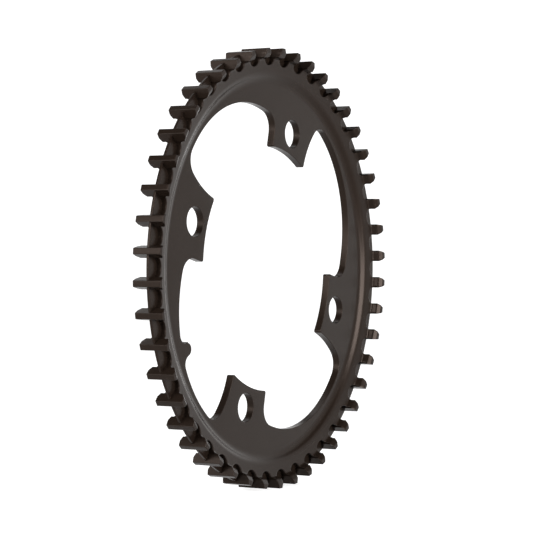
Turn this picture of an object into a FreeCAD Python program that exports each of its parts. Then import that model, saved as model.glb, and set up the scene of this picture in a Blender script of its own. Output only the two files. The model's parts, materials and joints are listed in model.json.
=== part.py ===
"""Four-bolt toothed-belt sprocket for a bicycle crank, machined from one aluminium plate.

The part stands upright: the axle runs along Y, the outer side faces -Y and a tooth points up along +Z.
It is drawn lying down, axle along Z and outer side up, and is stood up at the end.
The origin is on the axle, in the plane of the tabs' outer face.
Clock angles are degrees, turning clockwise from the top tooth as seen from the outer side.
"""
import FreeCAD, Part
import math
import os

# Belt and teeth, mm and degrees
teeth = 46
belt_pitch = 11.0
tip_drop = 1.15            # from the belt's pitch line down to the tooth tips
tooth_width = 10.85        # along the axle
tooth_shift = 0.1          # middle of the teeth, out from the tabs' outer face
tooth_land = 2.1           # flat top of a tooth
tooth_flank = 18.3         # lean of each flank from the tooth's own middle line
bar_height = 4.0           # tip down to where the overhanging tooth ends leave the rim
under_rise = 0.6           # climb of their underside from the rim out to the bevel
gullet_depth = 6.15        # tip down to the bottom of the gap between two teeth
end_bevel = 1.1            # bevelled lower edge of a tooth end, along the axle
end_rise = 2.2             # from the underside at the rim to the top of that bevel
fin_thickness = 0.9        # middle fin that keeps the belt on track
fin_drop = 0.8             # tooth tips down to the fin's edge

# Rim and web
web_thickness = 2.8
rim_band = 5.3             # gullet bottom in to the edge of the flat web
step_width = 2.2           # conical step from the web up to the rim
step_slope = 36.0
rim_slope = 9.0            # gentle rise of the rim's outer face

# Tabs and bolts
bolts = 4
bolt_hole = 10.4
bolt_lag = 2.25            # tooth pitches from the top tooth to the first bolt
pilot_radius = 44.3        # inner edge of the tabs
tab_wall = 2.5             # inner edge of the tabs out to the bolt holes
tab_half = 11.6            # bolt's radius line to the tab's inner corners
tab_lean = 5.4             # lean of the straight trailing side from the bolt's radius line
tab_corner = 0.8           # rounded inner corners

# Windows between the tabs
window_margin = 2.5        # flat web left between a window's far end and the step
window_radius = 45.5       # long outer edge, struck off centre
window_lead = 25.0         # clockwise from the next tab's bolt to where that edge is nearest the rim
root_fillet = 6.3          # where the trailing side of a tab meets the long edge
notch_fillet = 6.4         # where the long edge turns in to the next tab
side_radius = 33.0         # hollow leading side of a tab

# Position mark, one peg halfway along the last window
peg_width = 4.5
peg_tip_radius = 58.1      # from the axle to the peg's round tip
peg_fillet = 3.2

cutting_room = 2.0         # how far cutters and blanks run past the faces that they make
same_place = 0.001         # points nearer than this are one point

# Sizes that follow
pitch_angle = 360.0 / teeth
tip_radius = teeth * belt_pitch / (2 * math.pi) - tip_drop
bar_radius = tip_radius - bar_height
gullet_radius = tip_radius - gullet_depth
fin_radius = tip_radius - fin_drop
web_radius = gullet_radius - rim_band
bolt_circle = 2 * (pilot_radius + tab_wall) + bolt_hole
bolt_radius = bolt_circle / 2
bolt_step = 360.0 / bolts
half_width = tooth_width / 2
axle = FreeCAD.Vector(0, 0, 1)
origin = FreeCAD.Vector(0, 0, 0)


def at(clock, across, out, up=0.0):
    """Point in the frame of one radius line: across it clockwise, out along it, and up the axle."""
    turn = math.radians(clock)
    x = across * math.cos(turn) + out * math.sin(turn)
    y = out * math.cos(turn) - across * math.sin(turn)
    return FreeCAD.Vector(x, y, up)


def path(*points):
    """Straight edges from point to point."""
    return [Part.LineSegment(start, end).toShape() for start, end in zip(points, points[1:])]


def arc(start, middle, end):
    return Part.Arc(start, middle, end).toShape()


def along(centre, radius, point):
    """The point of a circle that lies towards another point."""
    return centre + (point - centre).normalize() * radius


def bend(centre, start, end):
    """The shorter arc from start to end about a centre."""
    radius = start.distanceToPoint(centre)
    return arc(start, along(centre, radius, (start + end) * 0.5), end)


def outline(edges):
    """Face inside a closed outline, given as edges in any order."""
    return Part.Face(Part.Wire(Part.__sortEdges__(edges)))


def prism(edges, bottom, height):
    """Upright prism on a closed outline."""
    face = outline(edges)
    face.translate(FreeCAD.Vector(0, 0, bottom))
    return face.extrude(FreeCAD.Vector(0, 0, height))


def toothed_prism():
    """Outline of all the teeth and gullets, taller than the teeth are wide.

    A gullet is a round bottom that runs tangent into two straight flanks.
    """
    flank = math.radians(tooth_flank)
    half_pitch = math.radians(pitch_angle / 2)
    wall = flank - half_pitch
    corner_turn = half_pitch - math.atan(tooth_land / 2 / tip_radius)
    corner_reach = math.hypot(tooth_land / 2, tip_radius)
    corner_across = corner_reach * math.sin(corner_turn)
    corner_rise = corner_reach * math.cos(corner_turn) - gullet_radius
    bottom = (corner_across * math.cos(wall) - corner_rise * math.sin(wall)) / (1 - math.sin(wall))
    bottom_across = bottom * math.cos(wall)
    bottom_out = gullet_radius + bottom - bottom * math.sin(wall)
    edges = []
    for tooth in range(teeth):
        here = tooth * pitch_angle
        gap = here + pitch_angle / 2
        gap_start = at(gap, -bottom_across, bottom_out)
        gap_end = at(gap, bottom_across, bottom_out)
        edges += path(
            at(gap - pitch_angle, bottom_across, bottom_out),
            at(here, -tooth_land / 2, tip_radius),
            at(here, tooth_land / 2, tip_radius),
            gap_start,
        )
        edges.append(arc(gap_start, at(gap, 0, gullet_radius), gap_end))
    return prism(edges, tooth_shift - half_width - cutting_room, tooth_width + 2 * cutting_room)


def turned_rim():
    """Turned blank of the rim: flat back, stepped front, and a band that overhangs both sides."""
    def section(radius, up):
        return FreeCAD.Vector(radius, 0, up)

    def overhang(side):
        """Tooth end on one side: underside, bevelled lower edge and end face."""
        under = section(bar_radius + under_rise, tooth_shift + side * (half_width - end_bevel))
        end_face = section(bar_radius + end_rise, tooth_shift + side * half_width)
        past_tip = section(tip_radius + cutting_room, tooth_shift + side * half_width)
        return under, end_face, past_tip

    crest_radius = web_radius + step_width
    crest_up = step_width * math.tan(math.radians(step_slope))
    corner_up = crest_up + (bar_radius - crest_radius) * math.tan(math.radians(rim_slope))
    foot = section(web_radius, 0)
    crest = section(crest_radius, crest_up)
    corner = section(bar_radius, corner_up)
    back_corner = section(bar_radius, -web_thickness)
    back_foot = section(web_radius, -web_thickness)
    front = [foot, crest, corner, *overhang(1)]
    back = [foot, back_foot, back_corner, *overhang(-1)]
    return outline(path(*front, *reversed(back))).revolve(origin, axle, 360)


def fin():
    """Thin disc in the middle of the teeth, from one thickness below the gullets almost to the tips."""
    base = FreeCAD.Vector(0, 0, tooth_shift - fin_thickness / 2)
    disc = Part.makeCylinder(fin_radius, fin_thickness, base)
    return disc.cut(Part.makeCylinder(gullet_radius - fin_thickness, fin_thickness, base))


def meeting(circle_centre, circle_radius, start, heading):
    """Where a ray from start leaves a circle that it starts inside of."""
    offset = start - circle_centre
    closest = offset.dot(heading)
    reach = -closest + math.sqrt(closest ** 2 - offset.dot(offset) + circle_radius ** 2)
    return start + heading * reach


def crossing(first_centre, first_radius, second_centre, second_radius):
    """The crossing of two circles that lies clockwise of the line between their centres."""
    between = second_centre - first_centre
    apart = between.Length
    ahead = (apart ** 2 + first_radius ** 2 - second_radius ** 2) / (2 * apart)
    aside = math.sqrt(first_radius ** 2 - ahead ** 2)
    forward = between * (1 / apart)
    return first_centre + forward * ahead + FreeCAD.Vector(forward.y, -forward.x, 0) * aside


def window(number):
    """Opening behind one bolt: straight tab side, long off-centre edge, hollow side of the next tab."""
    bolt = bolt_lag * pitch_angle + number * bolt_step
    next_bolt = bolt - bolt_step
    foot_out = math.sqrt(pilot_radius ** 2 - tab_half ** 2)
    long_centre = at(next_bolt + window_lead, 0, web_radius - window_margin - window_radius)

    # the straight side and the fillet at its root
    lean = math.radians(tab_lean)
    heading = at(bolt, -math.sin(lean), math.cos(lean))
    inward = at(bolt, -math.cos(lean), -math.sin(lean))
    trail_foot = at(bolt, -tab_half, foot_out)
    root_line = trail_foot + inward * root_fillet
    root_centre = meeting(long_centre, window_radius - root_fillet, root_line, heading)
    root_start = root_centre - inward * root_fillet
    root_end = along(long_centre, window_radius, root_centre)

    # the hollow side and the round notch where the long edge turns into it
    lead_foot = at(next_bolt, tab_half, foot_out)
    side_centre = at(next_bolt, tab_half + side_radius, foot_out)
    notch_reach = window_radius - notch_fillet
    notch_centre = crossing(side_centre, side_radius - notch_fillet, long_centre, notch_reach)
    notch_start = along(long_centre, window_radius, notch_centre)
    notch_end = along(side_centre, side_radius, notch_centre)

    lead_inner = at(next_bolt, tab_half, foot_out - cutting_room)
    edges = path(lead_foot, lead_inner, trail_foot - heading * cutting_room, root_start)
    edges.append(bend(root_centre, root_start, root_end))
    if number == bolts - 1:
        edges += edge_with_peg(bolt - bolt_step / 2, long_centre, root_end, notch_start)
    else:
        edges.append(bend(long_centre, root_end, notch_start))
    edges.append(bend(notch_centre, notch_start, notch_end))
    edges.append(bend(side_centre, notch_end, lead_foot))
    return prism(edges, -web_thickness - cutting_room, web_thickness + 2 * cutting_room)


def edge_with_peg(clock, long_centre, edge_start, edge_end):
    """Long edge of a window with a round-ended peg standing in from it, filleted at both sides."""
    half = peg_width / 2
    shoulder = peg_tip_radius + half
    outward = at(clock, 0, 1)
    sides = []
    for side in (1, -1):
        tip = at(clock, side * half, shoulder)
        clear = at(clock, side * (half + peg_fillet), shoulder)
        centre = meeting(long_centre, window_radius - peg_fillet, clear, outward)
        on_peg = centre - at(clock, side * peg_fillet, 0)
        on_edge = along(long_centre, window_radius, centre)
        sides.append((tip, on_peg, centre, on_edge))
    first_tip, first_root, first_centre, first_edge = sides[0]
    last_tip, last_root, last_centre, last_edge = sides[1]
    return [
        bend(long_centre, edge_start, first_edge),
        bend(first_centre, first_edge, first_root),
        *path(first_root, first_tip),
        arc(first_tip, at(clock, 0, peg_tip_radius), last_tip),
        *path(last_tip, last_root),
        bend(last_centre, last_root, last_edge),
        bend(long_centre, last_edge, edge_end),
    ]


def web():
    """Flat ring with its windows and bolt holes cut, and the tabs' inner corners rounded."""
    base = FreeCAD.Vector(0, 0, -web_thickness)
    plate = Part.makeCylinder(web_radius, web_thickness, base)
    plate = plate.cut(Part.makeCylinder(pilot_radius, web_thickness, base))
    for number in range(bolts):
        plate = plate.cut(window(number))
    corners = []
    for edge in plate.Edges:
        upright = abs(edge.BoundBox.ZLength - web_thickness) < same_place
        reach = math.hypot(edge.CenterOfMass.x, edge.CenterOfMass.y)
        if upright and abs(reach - pilot_radius) < same_place:
            corners.append(edge)
    plate = plate.makeFillet(tab_corner, corners)
    for number in range(bolts):
        centre = at(bolt_lag * pitch_angle + number * bolt_step, 0, bolt_radius, -web_thickness)
        plate = plate.cut(Part.makeCylinder(bolt_hole / 2, web_thickness, centre))
    return plate


rim = turned_rim().common(toothed_prism())
sprocket = rim.fuse([fin(), web()]).removeSplitter()
sprocket.rotate(origin, FreeCAD.Vector(1, 0, 0), 90)

os.makedirs("parts", exist_ok=True)
sprocket.exportStep("parts/belt_sprocket.step")
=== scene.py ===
import bmesh
import bpy
import cmath
import json
import math
from mathutils import Matrix, Vector


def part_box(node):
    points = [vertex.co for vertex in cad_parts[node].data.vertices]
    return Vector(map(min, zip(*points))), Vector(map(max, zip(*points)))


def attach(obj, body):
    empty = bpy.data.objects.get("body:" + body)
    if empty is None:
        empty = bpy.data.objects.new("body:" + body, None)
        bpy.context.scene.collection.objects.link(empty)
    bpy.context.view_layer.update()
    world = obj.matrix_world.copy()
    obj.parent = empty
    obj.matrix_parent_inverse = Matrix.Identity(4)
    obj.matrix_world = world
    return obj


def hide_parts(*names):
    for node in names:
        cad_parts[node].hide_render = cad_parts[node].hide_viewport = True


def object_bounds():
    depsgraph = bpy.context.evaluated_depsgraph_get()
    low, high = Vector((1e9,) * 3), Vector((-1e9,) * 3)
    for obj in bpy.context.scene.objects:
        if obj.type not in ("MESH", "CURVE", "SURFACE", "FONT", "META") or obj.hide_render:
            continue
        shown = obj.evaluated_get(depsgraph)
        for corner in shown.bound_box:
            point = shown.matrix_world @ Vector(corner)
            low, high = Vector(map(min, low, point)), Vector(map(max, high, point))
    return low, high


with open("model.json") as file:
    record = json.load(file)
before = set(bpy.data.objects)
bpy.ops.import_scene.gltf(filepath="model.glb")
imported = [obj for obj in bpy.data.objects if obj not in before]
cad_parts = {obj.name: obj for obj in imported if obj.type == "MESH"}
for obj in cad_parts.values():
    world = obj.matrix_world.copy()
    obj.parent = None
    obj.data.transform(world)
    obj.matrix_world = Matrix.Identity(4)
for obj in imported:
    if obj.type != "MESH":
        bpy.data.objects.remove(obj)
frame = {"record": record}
cad_low, cad_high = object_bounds()


# Toothed rim: the outer ring of the sprocket, turned from thick plate and cut into overhanging teeth.
# Dark anodised aluminium. The step up from the web and the insides of the tooth ends are turned with
# round-nosed tools, and a thin fin is left standing between the teeth to keep the belt on track.
MM = 0.001
node_low, node_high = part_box("belt_sprocket")
teeth = 46
half_pitch = math.pi / teeth
tip_clearance = 0.002
tip_radius = node_high.z / MM - tip_clearance
front_end = -node_low.y / MM
back_end = -node_high.y / MM
tooth_land = 2.1
tooth_height = 4.0
tooth_flank = math.radians(18.3)
bar_radius = tip_radius - tooth_height
under_rise = 0.6
end_bevel = 1.1
end_rise = 2.2
gullet_depth = 6.15
gullet_radius = tip_radius - gullet_depth
gullet_turn = 9
gullet_stops = 8
fin_depth = 0.8
fin_radius = tip_radius - fin_depth
fin_front = 0.55
fin_back = -0.35
fin_break = 0.1
web_thickness = 2.8
step_depth = 5.3
step_foot = gullet_radius - step_depth
step_width = 2.2
step_slope = math.radians(36)
rim_slope = math.radians(9)
step_round = 4.5
inside_round = 1.0
back_inside_round = 0.9
under_round = 1.2
end_round = 1.0
tip_round = 0.18
tooth_edge_round = 0.14
web_margin = 1.55
web_edge = step_foot - web_margin
columns = 4
fin_columns = 2
foot_steps, crest_steps, inside_steps = 6, 5, 5
end_steps, tip_steps, back_inside_steps = 4, 3, 4
mid_round = 1 - math.sqrt(0.5)
hair = 1e-6
end_share = 1e-4
fin_slack = 1e-3
same_place = 0.0005
tooth_weld = 0.001
ring_weld = 0.002

flank_wall = tooth_flank - half_pitch
corner_turn = half_pitch - math.atan(tooth_land / 2 / tip_radius)
corner_reach = math.hypot(tooth_land / 2, tip_radius)
corner_across = corner_reach * math.sin(corner_turn)
corner_rise = corner_reach * math.cos(corner_turn) - gullet_radius
corner_offset = corner_across * math.cos(flank_wall) - corner_rise * math.sin(flank_wall)
gullet_round = corner_offset / (1 - math.sin(flank_wall))
gullet_reach = gullet_radius + gullet_round
gullet_side = gullet_round * math.cos(flank_wall)
gullet_top = math.hypot(gullet_side, gullet_reach - gullet_round * math.sin(flank_wall))


def spoke(clock, radius):
    """Point at a clockwise angle from the top and a distance from the axle, seen from the outer side."""
    return radius * 1j * cmath.exp(-1j * clock)


def stood_up(point, up):
    """A point drawn flat, with its height towards the outer side, as a place on the upright part."""
    return Vector((point.real, -up, point.imag)) * MM


def tooth_side(radius):
    """Right-hand side of the top tooth at one radius, and the direction from there into the metal."""
    if radius <= gullet_top:
        cosine = (radius ** 2 + gullet_reach ** 2 - gullet_round ** 2) / (2 * radius * gullet_reach)
        side = spoke(half_pitch - math.acos(min(1.0, cosine)), radius)
        return side, (side - spoke(half_pitch, gullet_reach)) / gullet_round
    corner = complex(tooth_land / 2, tip_radius)
    down = complex(math.sin(tooth_flank), -math.cos(tooth_flank))
    along = (corner * down.conjugate()).real
    reach = -along - math.sqrt(along ** 2 - abs(corner) ** 2 + radius ** 2)
    return corner + down * reach, down * -1j


def turned_section():
    """Turned outline from the outer side of the web, over the tooth, to the back of the web.

    Each entry is radius plus height as one complex number, and the direction that faces outwards.
    """
    crest_up = step_width * math.tan(step_slope)
    crest = step_foot + step_width
    corner_up = crest_up + (bar_radius - crest) * math.tan(rim_slope)
    corners = [
        (complex(web_edge, 0), 0, 0),
        (complex(step_foot, 0), step_round, foot_steps),
        (complex(crest, crest_up), step_round, crest_steps),
        (complex(bar_radius, corner_up), inside_round, inside_steps),
        (complex(bar_radius + under_rise, front_end - end_bevel), under_round, end_steps),
        (complex(bar_radius + end_rise, front_end), end_round, end_steps),
        (complex(tip_radius, front_end), tip_round, tip_steps),
        (complex(tip_radius, back_end), tip_round, tip_steps),
        (complex(bar_radius + end_rise, back_end), end_round, end_steps),
        (complex(bar_radius + under_rise, back_end + end_bevel), under_round, end_steps),
        (complex(bar_radius, -web_thickness), back_inside_round, back_inside_steps),
        (complex(web_edge, -web_thickness), 0, 0),
    ]
    rows = []
    for before, (corner, radius, steps), after in zip(corners, corners[1:], corners[2:]):
        heading = (corner - before[0]) / abs(corner - before[0])
        leaving = (after[0] - corner) / abs(after[0] - corner)
        turn = cmath.phase(leaving / heading)
        start = corner - heading * radius * math.tan(abs(turn) / 2)
        centre = start + math.copysign(radius, turn) * 1j * heading
        for step in range(steps + 1):
            swing = cmath.exp(1j * turn * step / steps)
            rows.append((centre + (start - centre) * swing, 1j * heading * swing))
    return [(corners[0][0], 1j), *rows, (corners[-1][0], -1j)]


def with_stops(section):
    """The same outline with rows added on its straights, where the gullets and the fin need them."""
    squares = gullet_reach ** 2 + gullet_round ** 2
    product = 2 * gullet_reach * gullet_round
    turns = [math.radians(gullet_turn * step) for step in range(gullet_stops)]
    gullet_radii = [math.sqrt(squares - product * math.cos(turn)) for turn in turns]
    radii = [gullet_radius - 2 * tooth_edge_round, *gullet_radii, fin_radius - fin_break, fin_radius]
    front_middle = (front_end - tip_round + fin_front) / 2
    back_middle = (back_end + tip_round + fin_back) / 2
    heights = [front_middle, fin_front, fin_front - fin_break, fin_back + fin_break, fin_back, back_middle]
    rows = [section[0]]
    for (start, facing), (end, end_facing) in zip(section, section[1:]):
        if abs(facing - end_facing) < hair:
            run = end - start
            if abs(run.real) > hair:
                shares = [(stop - start.real) / run.real for stop in radii]
            else:
                shares = [(stop - start.imag) / run.imag for stop in heights]
            between = [share for share in sorted(shares) if end_share < share < 1 - end_share]
            rows += [(start + run * share, facing) for share in between]
        rows.append((end, end_facing))
    return rows


def edge_place(row, into_side, into_face):
    """Point near the edge where the turned outline meets a tooth's side, so far inside each of the two."""
    section, facing = row
    side, metal = tooth_side(section.real)
    radial = side / abs(side)
    lean = facing.real * (metal * radial.conjugate()).real
    along_metal = (into_side + into_face * lean) / (1 - lean ** 2)
    along_facing = (-into_face - into_side * lean) / (1 - lean ** 2)
    flat = side + metal * along_metal + radial * facing.real * along_facing
    return flat, section.imag + facing.imag * along_facing


def lay_grid(bm, found, rows):
    """Quads between rows of (flat point, height); points already laid are used again."""
    def vertex(place):
        spot = stood_up(*place)
        key = tuple(round(value / (same_place * MM)) for value in spot)
        if key not in found:
            found[key] = bm.verts.new(spot)
        return found[key]

    laid = [[vertex(place) for place in row] for row in rows]
    for first, second in zip(laid, laid[1:]):
        for a, b, c, d in zip(first, first[1:], second[1:], second):
            corners = list(dict.fromkeys((a, b, c, d)))
            if len(corners) > 2 and not bm.faces.get(corners):
                bm.faces.new(corners)
    return laid


def half_tooth(bm, rub, mirror):
    """Right half of one tooth with half a gullet on its side, or its mirror image."""
    found = {}

    def lay(rows):
        if mirror:
            rows = [[(-flat.conjugate(), up) for flat, up in row] for row in rows]
        return lay_grid(bm, found, rows)

    section = with_stops(turned_section())
    cap, strip, skin_edge = [], [], []
    for row in section:
        if row[0].real < gullet_radius - hair:
            flat, up = spoke(half_pitch, row[0].real), row[0].imag
        else:
            flat, up = edge_place(row, tooth_edge_round, 0)
            middle = tooth_edge_round * mid_round
            skin_edge.append(edge_place(row, 0, tooth_edge_round))
            strip.append([(flat, up), edge_place(row, middle, middle), skin_edge[-1]])
        clock = math.pi / 2 - cmath.phase(flat)
        cap.append([(spoke(clock * column / columns, abs(flat)), up) for column in range(columns + 1)])
    lay(cap)
    for line in lay(strip):
        line[1][rub] = 1.0

    def fin_face(places, height):
        rows = []
        for flat, _ in places:
            clock = math.pi / 2 - cmath.phase(flat)
            shares = [column / fin_columns for column in range(fin_columns + 1)]
            turns = [clock + (half_pitch - clock) * share for share in shares]
            rows.append([(spoke(turn, abs(flat)), height) for turn in turns])
        return rows

    fin_shoulder = fin_radius - fin_break
    on_front, on_back = [], []
    for flat, up in skin_edge:
        on_land = abs(flat) >= tip_radius - tip_round
        if up > (front_end - tip_round - hair if on_land else fin_front):
            on_front.append((flat, up))
        if up < (back_end + tip_round + hair if on_land else fin_back):
            on_back.append((flat, up))
    for places, height in ((on_front, fin_front), (on_back, fin_back)):
        lay([[(flat, up), (flat, (up + height) / 2), (flat, height)] for flat, up in places])
        lay(fin_face([place for place in places if abs(place[0]) < fin_shoulder + fin_slack], height))
    top = tooth_side(fin_radius)[0]
    shoulder = tooth_side(fin_shoulder)[0]
    edge_front, edge_back = fin_front - fin_break, fin_back + fin_break
    rounds = [(shoulder, fin_front), (top, edge_front), (top, edge_back), (shoulder, fin_back)]
    lay([fin_face([(flat, 0)], height)[0] for flat, height in rounds])
    lay([[(shoulder, fin_front), (top, fin_front)], [(shoulder, fin_front), (top, edge_front)]])
    lay([[(shoulder, fin_back), (top, fin_back)], [(shoulder, fin_back), (top, edge_back)]])
    above = [flat for flat, _ in on_front if abs(flat) > fin_radius - fin_slack]
    lay([[(flat, height) for height in (fin_front, edge_front, edge_back, fin_back)] for flat in above])


tooth_mesh = bpy.data.meshes.new("tooth")
bm = bmesh.new()
rub_layer = bm.verts.layers.float.new("rub")
half_tooth(bm, rub_layer, False)
half_tooth(bm, rub_layer, True)
bmesh.ops.remove_doubles(bm, verts=bm.verts, dist=tooth_weld * MM)
bm.to_mesh(tooth_mesh)
bm.free()


class Wire:
    """One socket of a node tree. Arithmetic on it adds Math nodes to the tree."""

    def __init__(self, tree, socket):
        self.tree = tree
        self.socket = socket

    @staticmethod
    def node(tree, kind, settings, sockets, output=0):
        """A new node with its settings, then its sockets' values or links, as one of its outputs."""
        made = tree.nodes.new(kind)
        for name, value in settings.items():
            setattr(made, name, value)
        for name, value in sockets.items():
            if isinstance(value, Wire):
                tree.links.new(value.socket, made.inputs[name])
            else:
                made.inputs[name].default_value = value
        return Wire(tree, made.outputs[output])

    def maths(self, operation, first, second):
        return Wire.node(self.tree, "ShaderNodeMath", {"operation": operation}, {0: first, 1: second})

    def __add__(self, other):
        return self.maths("ADD", self, other)

    def __sub__(self, other):
        return self.maths("SUBTRACT", self, other)

    def __mul__(self, other):
        return self.maths("MULTIPLY", self, other)

    def __rtruediv__(self, other):
        return self.maths("DIVIDE", other, self)

    __radd__ = __add__


anodised = bpy.data.materials.new("anodised_aluminium")

ring = bpy.data.node_groups.new("ring_of_teeth", "GeometryNodeTree")
ring.interface.new_socket("Tooth", in_out="INPUT", socket_type="NodeSocketGeometry")
teeth_input = ring.interface.new_socket("Teeth", in_out="INPUT", socket_type="NodeSocketInt")
weld_input = ring.interface.new_socket("Weld", in_out="INPUT", socket_type="NodeSocketFloat")
finish_input = ring.interface.new_socket("Finish", in_out="INPUT", socket_type="NodeSocketMaterial")
ring.interface.new_socket("Ring", in_out="OUTPUT", socket_type="NodeSocketGeometry")
given = ring.nodes.new("NodeGroupInput")
tooth_in = Wire(ring, given.outputs["Tooth"])
teeth_in = Wire(ring, given.outputs["Teeth"])
weld_in = Wire(ring, given.outputs["Weld"])
finish_in = Wire(ring, given.outputs["Finish"])
places = Wire.node(ring, "GeometryNodePoints", {}, {"Count": teeth_in})
number = Wire.node(ring, "GeometryNodeInputIndex", {}, {})
turn_each = 2 * math.pi / teeth_in
turned = Wire.node(ring, "ShaderNodeCombineXYZ", {}, {"Y": number * turn_each})
copies = Wire.node(
    ring, "GeometryNodeInstanceOnPoints", {},
    {"Points": places, "Instance": tooth_in, "Rotation": turned},
)
real = Wire.node(ring, "GeometryNodeRealizeInstances", {}, {"Geometry": copies})
welded = Wire.node(ring, "GeometryNodeMergeByDistance", {}, {"Geometry": real, "Distance": weld_in})
coated = Wire.node(ring, "GeometryNodeSetMaterial", {}, {"Geometry": welded, "Material": finish_in})
ring.links.new(coated.socket, ring.nodes.new("NodeGroupOutput").inputs["Ring"])

tooth = bpy.data.objects.new("tooth", tooth_mesh)
bpy.context.scene.collection.objects.link(tooth)
modifier = tooth.modifiers.new("ring of teeth", "NODES")
modifier.node_group = ring
modifier[teeth_input.identifier] = teeth
modifier[weld_input.identifier] = ring_weld * MM
modifier[finish_input.identifier] = anodised
evaluated = tooth.evaluated_get(bpy.context.evaluated_depsgraph_get())
rim_mesh = bpy.data.meshes.new_from_object(evaluated)
tooth.modifiers.remove(modifier)
bpy.data.objects.remove(tooth)


# Web: the flat plate inside the rim, with four tabs that bolt to the crank and swept windows between them.
# It is milled from the same plate as the rim, so both are welded into one mesh here, and every edge
# is broken by a small round, as a deburring wheel leaves it. A short peg in one window marks the position.
bolts = 4
bolt_radius = frame["record"]["mounts"][0]["dims"]["pcd_mm"] / 2
bolt_hole = 10.4
bolt_hole_steps = 72
bolt_lag = 2.25
pilot_radius = 44.3
tab_half = 11.6
tab_lean = math.radians(5.4)
tab_corner = 0.8
window_radius = 45.5
window_margin = 2.5
window_reach = step_foot - window_margin - window_radius
window_lead = math.radians(25)
root_fillet = 6.3
notch_fillet = 6.4
side_radius = 33.0
peg_half = 2.25
peg_tip_radius = 58.1
peg_fillet = 3.2
web_edge_round = 0.18
run_up = pilot_radius / 4
flatness = 0.005
least_steps = 2
sharp_turn = math.radians(50)
first_bolt = bolt_lag * 2 * half_pitch
bolt_step = 2 * math.pi / bolts


def beside(clock, across, out):
    """Point in the frame of one radius line: across it clockwise, and out along it."""
    return complex(across, out) * cmath.exp(-1j * clock)


def meeting(circle_centre, circle_radius, start, heading):
    """Where a ray from start leaves a circle that it starts inside of."""
    offset = start - circle_centre
    closest = (offset * heading.conjugate()).real
    return start + heading * (math.sqrt(closest ** 2 - abs(offset) ** 2 + circle_radius ** 2) - closest)


def crossing(first, first_radius, second, second_radius, hand):
    """Crossing of two circles, clockwise of the line between their centres for hand 1."""
    apart = abs(second - first)
    forward = (second - first) / apart
    ahead = (apart ** 2 + first_radius ** 2 - second_radius ** 2) / (2 * apart)
    return first + forward * (ahead - 1j * hand * math.sqrt(first_radius ** 2 - ahead ** 2))


def towards(centre, radius, point):
    return centre + (point - centre) / abs(point - centre) * radius


def curve(centre, start, end, hollow):
    """Points of an edge's arc, without its end, each with the direction into the metal."""
    radius = abs(start - centre)
    sweep = cmath.phase((end - centre) / (start - centre))
    steps = max(least_steps, math.ceil(abs(sweep) / (2 * math.acos(1 - flatness / radius))))
    arms = [(start - centre) * cmath.exp(1j * sweep * step / steps) for step in range(steps)]
    return [(centre + arm, (arm if hollow else -arm) / radius) for arm in arms]


def tab_corners(bolt):
    """Contact points and centres of the rounded inner corners of one tab, trailing then leading."""
    foot_out = math.sqrt(pilot_radius ** 2 - tab_half ** 2)
    heading = beside(bolt, -math.sin(tab_lean), math.cos(tab_lean))
    metal = beside(bolt, math.cos(tab_lean), math.sin(tab_lean))
    inset = beside(bolt, -tab_half, foot_out) + metal * tab_corner - heading * run_up
    trailing = meeting(0, pilot_radius + tab_corner, inset, heading)
    side_centre = beside(bolt, tab_half + side_radius, foot_out)
    leading = crossing(0, pilot_radius + tab_corner, side_centre, side_radius + tab_corner, -1)
    return trailing, trailing - metal * tab_corner, leading, towards(side_centre, side_radius, leading)


def long_edge(number, bolt, centre, start, end):
    """Far edge of one window, from the notch clockwise to the root. The last window's has the peg on it."""
    if number < bolts - 1:
        return curve(centre, start, end, True)
    clock = bolt - bolt_step / 2
    shoulder = peg_tip_radius + peg_half
    sides = []
    for side in (-1, 1):
        clear = beside(clock, side * (peg_half + peg_fillet), shoulder)
        corner = meeting(centre, window_radius - peg_fillet, clear, beside(clock, 0, 1))
        root = corner - beside(clock, side * peg_fillet, 0)
        tip = beside(clock, side * peg_half, shoulder)
        sides.append((corner, towards(centre, window_radius, corner), root, tip))
    (corner, edge, root, tip), (far_corner, far_edge, far_root, far_tip) = sides
    middle = beside(clock, 0, shoulder)
    end_point = beside(clock, 0, peg_tip_radius)
    return [
        *curve(centre, start, edge, True),
        *curve(corner, edge, root, True),
        (root, beside(clock, 1, 0)),
        *curve(middle, tip, end_point, False),
        *curve(middle, end_point, far_tip, False),
        (far_tip, beside(clock, -1, 0)),
        *curve(far_corner, far_root, far_edge, True),
        *curve(centre, far_edge, end, True),
    ]


def inner_edge():
    """The whole inner edge, clockwise: each tab's end, then the window after it."""
    line = []
    for number in range(bolts):
        bolt = first_bolt + number * bolt_step
        before = bolt - bolt_step
        foot_out = math.sqrt(pilot_radius ** 2 - tab_half ** 2)
        trailing, _, leading, side_start = tab_corners(before)
        next_trailing, side_end, _, _ = tab_corners(bolt)
        long_centre = beside(before + window_lead, 0, window_reach)
        side_centre = beside(before, tab_half + side_radius, foot_out)
        side_reach = side_radius - notch_fillet
        notch = crossing(side_centre, side_reach, long_centre, window_radius - notch_fillet, 1)
        heading = beside(bolt, -math.sin(tab_lean), math.cos(tab_lean))
        metal = beside(bolt, math.cos(tab_lean), math.sin(tab_lean))
        root_line = beside(bolt, -tab_half, foot_out) - metal * root_fillet
        root = meeting(long_centre, window_radius - root_fillet, root_line, heading)
        notch_end = towards(side_centre, side_radius, notch)
        notch_start = towards(long_centre, window_radius, notch)
        root_end = towards(long_centre, window_radius, root)
        root_start = root + metal * root_fillet
        line += curve(0, towards(0, pilot_radius, trailing), towards(0, pilot_radius, leading), True)
        line += curve(leading, towards(0, pilot_radius, leading), side_start, False)
        line += curve(side_centre, side_start, notch_end, True)
        line += curve(notch, notch_end, notch_start, True)
        line += long_edge(number, bolt, long_centre, notch_start, root_end)
        line += curve(root, root_end, root_start, True)
        line.append((root_start, metal))
        line += curve(next_trailing, side_end, towards(0, pilot_radius, next_trailing), False)
    return line


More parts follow.
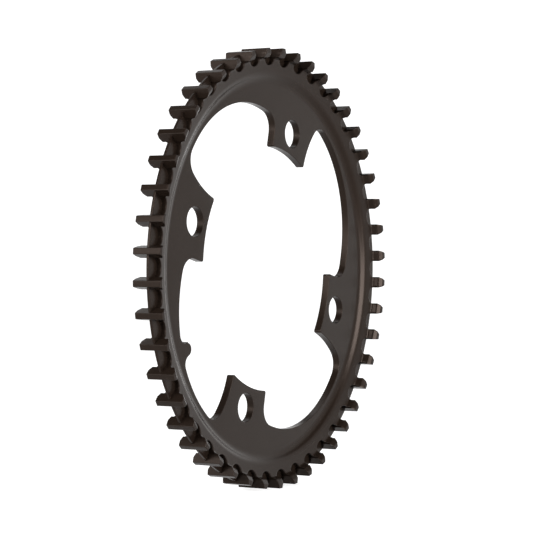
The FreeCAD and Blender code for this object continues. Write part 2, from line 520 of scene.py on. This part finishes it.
bm = bmesh.new()
rub_layer = bm.verts.layers.float.new("rub")
bm.from_mesh(rim_mesh)
loops = [inner_edge()]
for number in range(bolts):
    centre = beside(first_bolt + number * bolt_step, 0, bolt_radius)
    around = [cmath.exp(2j * math.pi * step / bolt_hole_steps) for step in range(bolt_hole_steps)]
    loops.append([(centre + arm * bolt_hole / 2, arm) for arm in around])
middle = web_edge_round * mid_round
rings = [
    (web_edge_round, 0),
    (middle, -middle),
    (0, -web_edge_round),
    (0, web_edge_round - web_thickness),
    (middle, middle - web_thickness),
    (web_edge_round, -web_thickness),
]
clocks = [half_pitch * step / columns for step in range(2 * teeth * columns)]
face_edges = {0: [], -web_thickness: []}


def all_round(line):
    """Each point of a closed line with the next."""
    return list(zip(line, line[1:] + line[:1]))


for face in face_edges:
    line = [bm.verts.new(stood_up(spoke(clock, web_edge), face)) for clock in clocks]
    face_edges[face] += [bm.edges.new(pair) for pair in all_round(line)]
for loop in loops:
    walls = []
    for inset, up in rings:
        line = [bm.verts.new(stood_up(point + metal * inset, up)) for point, metal in loop]
        for vertex in line:
            vertex[rub_layer] = float(inset == middle)
        walls.append(line)
    for upper, lower in zip(walls, walls[1:]):
        for (a, b), (d, c) in zip(all_round(upper), all_round(lower)):
            bm.faces.new((a, b, c, d))
    face_edges[0] += [bm.edges.get(pair) for pair in all_round(walls[0])]
    face_edges[-web_thickness] += [bm.edges.get(pair) for pair in all_round(walls[-1])]
for edges in face_edges.values():
    bmesh.ops.triangle_fill(bm, use_beauty=True, use_dissolve=False, edges=edges)
bmesh.ops.remove_doubles(bm, verts=bm.verts, dist=ring_weld * MM)
bmesh.ops.recalc_face_normals(bm, faces=bm.faces)
for face in bm.faces:
    face.smooth = True
for edge in bm.edges:
    edge.smooth = edge.calc_face_angle(0) < sharp_turn
sprocket_mesh = bpy.data.meshes.new("sprocket")
bm.to_mesh(sprocket_mesh)
bm.free()
bpy.data.meshes.remove(rim_mesh)
bpy.data.meshes.remove(tooth_mesh)
sprocket_mesh.materials.clear()
sprocket_mesh.materials.append(anodised)
sprocket = bpy.data.objects.new("sprocket", sprocket_mesh)
bpy.context.scene.collection.objects.link(sprocket)
even = sprocket.modifiers.new("even shading", "WEIGHTED_NORMAL")
even.keep_sharp = True


# Finish: hard anodising dyed a warm black, which soaks up most of the light and leaves a satin sheen.
# The lathe leaves faint rings round the axle under it, the bead blast a fine grain, and handling
# rubs the broken edges a little lighter.
rub_colour = (0.075, 0.07, 0.065, 1)
dye_thick = (0.0108, 0.007, 0.0051, 1)
dye_thin = (0.014, 0.0093, 0.0068, 1)
rub_strength = 0.3
cloud_scale = 45.0
cloud_detail = 3.0
grain_scale = 5200.0
grain_detail = 2.0
turning_scale = 5000.0
turning_share = 0.5
relief_strength = 0.12
relief_depth = 0.02
satin = 0.2
cloud_satin = 0.06
grain_satin = 0.04
rub_polish = 0.05
mirror_level = 0.118
mirror_tint = (1.0, 0.8, 0.7, 1)
first_colour, second_colour, mixed_colour = 6, 7, 2
anodised.use_nodes = True
tree = anodised.node_tree
tree.nodes.clear()
place = Wire.node(tree, "ShaderNodeTexCoord", {}, {}, "Object")
flat_place = Wire.node(tree, "ShaderNodeVectorMath", {"operation": "MULTIPLY"}, {0: place, 1: (1, 0, 1)})
axle_distance = Wire.node(tree, "ShaderNodeVectorMath", {"operation": "LENGTH"}, {0: flat_place}, "Value")
cloud = Wire.node(
    tree, "ShaderNodeTexNoise", {},
    {"Vector": place, "Scale": cloud_scale, "Detail": cloud_detail},
)
grain = Wire.node(
    tree, "ShaderNodeTexNoise", {},
    {"Vector": place, "Scale": grain_scale, "Detail": grain_detail},
)
turning = Wire.node(
    tree, "ShaderNodeTexNoise", {"noise_dimensions": "1D"},
    {"W": axle_distance, "Scale": turning_scale},
)
rub = Wire.node(tree, "ShaderNodeAttribute", {"attribute_name": "rub"}, {}, "Fac")
wear = rub * cloud
dye = Wire.node(
    tree, "ShaderNodeMix", {"data_type": "RGBA"},
    {"Factor": cloud, first_colour: dye_thick, second_colour: dye_thin}, mixed_colour,
)
colour = Wire.node(
    tree, "ShaderNodeMix", {"data_type": "RGBA"},
    {"Factor": wear * rub_strength, first_colour: dye, second_colour: rub_colour}, mixed_colour,
)
relief = Wire.node(
    tree, "ShaderNodeBump", {},
    {"Strength": relief_strength, "Distance": relief_depth * MM, "Height": grain + turning * turning_share},
)
shader = Wire.node(
    tree, "ShaderNodeBsdfPrincipled", {},
    {
        "Base Color": colour,
        "Metallic": 0.0,
        "Roughness": satin + cloud * cloud_satin + grain * grain_satin - wear * rub_polish,
        "Specular IOR Level": mirror_level,
        "Specular Tint": mirror_tint,
        "Normal": relief,
    },
)
out = tree.nodes.new("ShaderNodeOutputMaterial")
tree.links.new(shader.socket, out.inputs["Surface"])

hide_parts("belt_sprocket")
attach(sprocket, "root")


# Floor: a round white studio sweep, painted board that curves up into a wall all the way round.
# Seen straight or in a mirror it is white, and round the part it is lifted less, so that the
# part's soft shadow shows.
sweep_radius = 2.4
sweep_cove = 0.3
sweep_height = 1.3
sweep_sides = 96
cove_steps = 8
shadow_reach = 0.25
white_reach = 0.9
shadow_lift = 0.76
board_paint = (0.6, 0.6, 0.6, 1)
board_roughness = 0.9
sweep_line = []
for step in range(cove_steps + 1):
    climb = math.pi / 2 * step / cove_steps
    cove_radius = sweep_radius - sweep_cove * (1 - math.sin(climb))
    sweep_line.append((cove_radius, sweep_cove * (1 - math.cos(climb))))
sweep_line.append((sweep_radius, sweep_height))
sweep_points = []
for radius, up in sweep_line:
    for side in range(sweep_sides):
        turn = 2 * math.pi * side / sweep_sides
        sweep_points.append((radius * math.cos(turn), radius * math.sin(turn), cad_low.z + up))
sweep_faces = [list(range(sweep_sides))]
for row in range(len(sweep_line) - 1):
    for side in range(sweep_sides):
        after = (side + 1) % sweep_sides
        low, high = row * sweep_sides, (row + 1) * sweep_sides
        sweep_faces.append([low + after, low + side, high + side, high + after])
floor_mesh = bpy.data.meshes.new("floor")
floor_mesh.from_pydata(sweep_points, [], sweep_faces)
floor_mesh.shade_smooth()
floor = bpy.data.objects.new("floor", floor_mesh)
bpy.context.scene.collection.objects.link(floor)
white = bpy.data.materials.new("white_board")
white.use_nodes = True
board = white.node_tree
board.nodes.clear()
path = board.nodes.new("ShaderNodeLightPath")
camera_ray, glossy_ray, glass_ray = [
    Wire(board, path.outputs[name]) for name in ("Is Camera Ray", "Is Glossy Ray", "Is Transmission Ray")
]
seen = camera_ray.maths("MAXIMUM", camera_ray.maths("MAXIMUM", camera_ray, glossy_ray), glass_ray)
board_place = Wire.node(board, "ShaderNodeTexCoord", {}, {}, "Object")
reach = Wire.node(board, "ShaderNodeVectorMath", {"operation": "LENGTH"}, {0: board_place}, "Value")
lift = Wire.node(
    board, "ShaderNodeMapRange", {"interpolation_type": "SMOOTHSTEP"},
    {
        "Value": reach,
        "From Min": shadow_reach,
        "From Max": white_reach,
        "To Min": shadow_lift,
        "To Max": 1.0,
    },
)
painted = Wire.node(
    board, "ShaderNodeBsdfPrincipled", {},
    {
        "Base Color": board_paint,
        "Roughness": board_roughness,
        "Specular IOR Level": 0.0,
        "Emission Color": seen * lift,
        "Emission Strength": 1.0,
    },
)
board.links.new(painted.socket, board.nodes.new("ShaderNodeOutputMaterial").inputs["Surface"])
floor_mesh.materials.append(white)


# Light: two wide softboxes, one low in front of the outer face and one on the left, weaker ones
# behind and beside the part that draw its edges, and a little even light from all round.
lamp_distance = 1.2
even_white = (1, 1, 1, 1)
even_strength = 0.08
world = bpy.data.worlds.new("studio")
bpy.context.scene.world = world
world.use_nodes = True
world.node_tree.nodes["Background"].inputs["Color"].default_value = even_white
world.node_tree.nodes["Background"].inputs["Strength"].default_value = even_strength


def softbox(name, azimuth, elevation, width, height, power):
    """Soft lamp that faces the part. Azimuth 0 is in front of the outer face, and plus is to the right."""
    lamp = bpy.data.lights.new(name, "AREA")
    lamp.shape = "RECTANGLE"
    lamp.size = width
    lamp.size_y = height
    lamp.energy = power
    turn, climb = math.radians(azimuth), math.radians(elevation)
    away = Vector((math.sin(turn) * math.cos(climb), -math.cos(turn) * math.cos(climb), math.sin(climb)))
    holder = bpy.data.objects.new(name, lamp)
    holder.location = away * lamp_distance
    holder.rotation_euler = away.to_track_quat("Z", "Y").to_euler()
    holder.visible_camera = False
    bpy.context.scene.collection.objects.link(holder)


softbox("front", azimuth=1, elevation=9, width=0.5, height=0.6, power=17.0)
softbox("left_rim", azimuth=-130, elevation=8, width=0.7, height=0.5, power=3.0)
softbox("right_side", azimuth=90, elevation=5, width=0.62, height=0.36, power=0.7)
softbox("right_top", azimuth=150, elevation=45, width=0.62, height=0.62, power=1.5)
softbox("left", azimuth=-95, elevation=22, width=0.9, height=0.8, power=18.0)


# Camera: level with the axle and well round to the left of it, with a long lens, as in the photo.
# It was found by fitting the four bolt holes and the outline, so the aim is a little off the axle.
azimuth = math.radians(-59.2345)
roll = math.radians(0.395)
distance = 739.7 * MM
aim = Vector((1.0, -1.68, -0.056)) * MM
lens_pixels = 2041.8
picture_width = 550
sensor_width = 36.0
nearest = 0.05
camera_data = bpy.data.cameras.new("camera")
camera_data.sensor_width = sensor_width
camera_data.lens = lens_pixels * sensor_width / picture_width
camera_data.clip_start = nearest
camera = bpy.data.objects.new("camera", camera_data)
bpy.context.scene.collection.objects.link(camera)
backward = Vector((math.sin(azimuth), -math.cos(azimuth), 0))
right = Vector((math.cos(azimuth), math.sin(azimuth), 0))
upright = backward.cross(right)
level = Matrix((right, upright, backward)).transposed().to_4x4()
camera.matrix_world = Matrix.Translation(aim + backward * distance) @ level @ Matrix.Rotation(roll, 4, "Z")
bpy.context.scene.camera = camera
bpy.context.scene.view_settings.view_transform = "Standard"
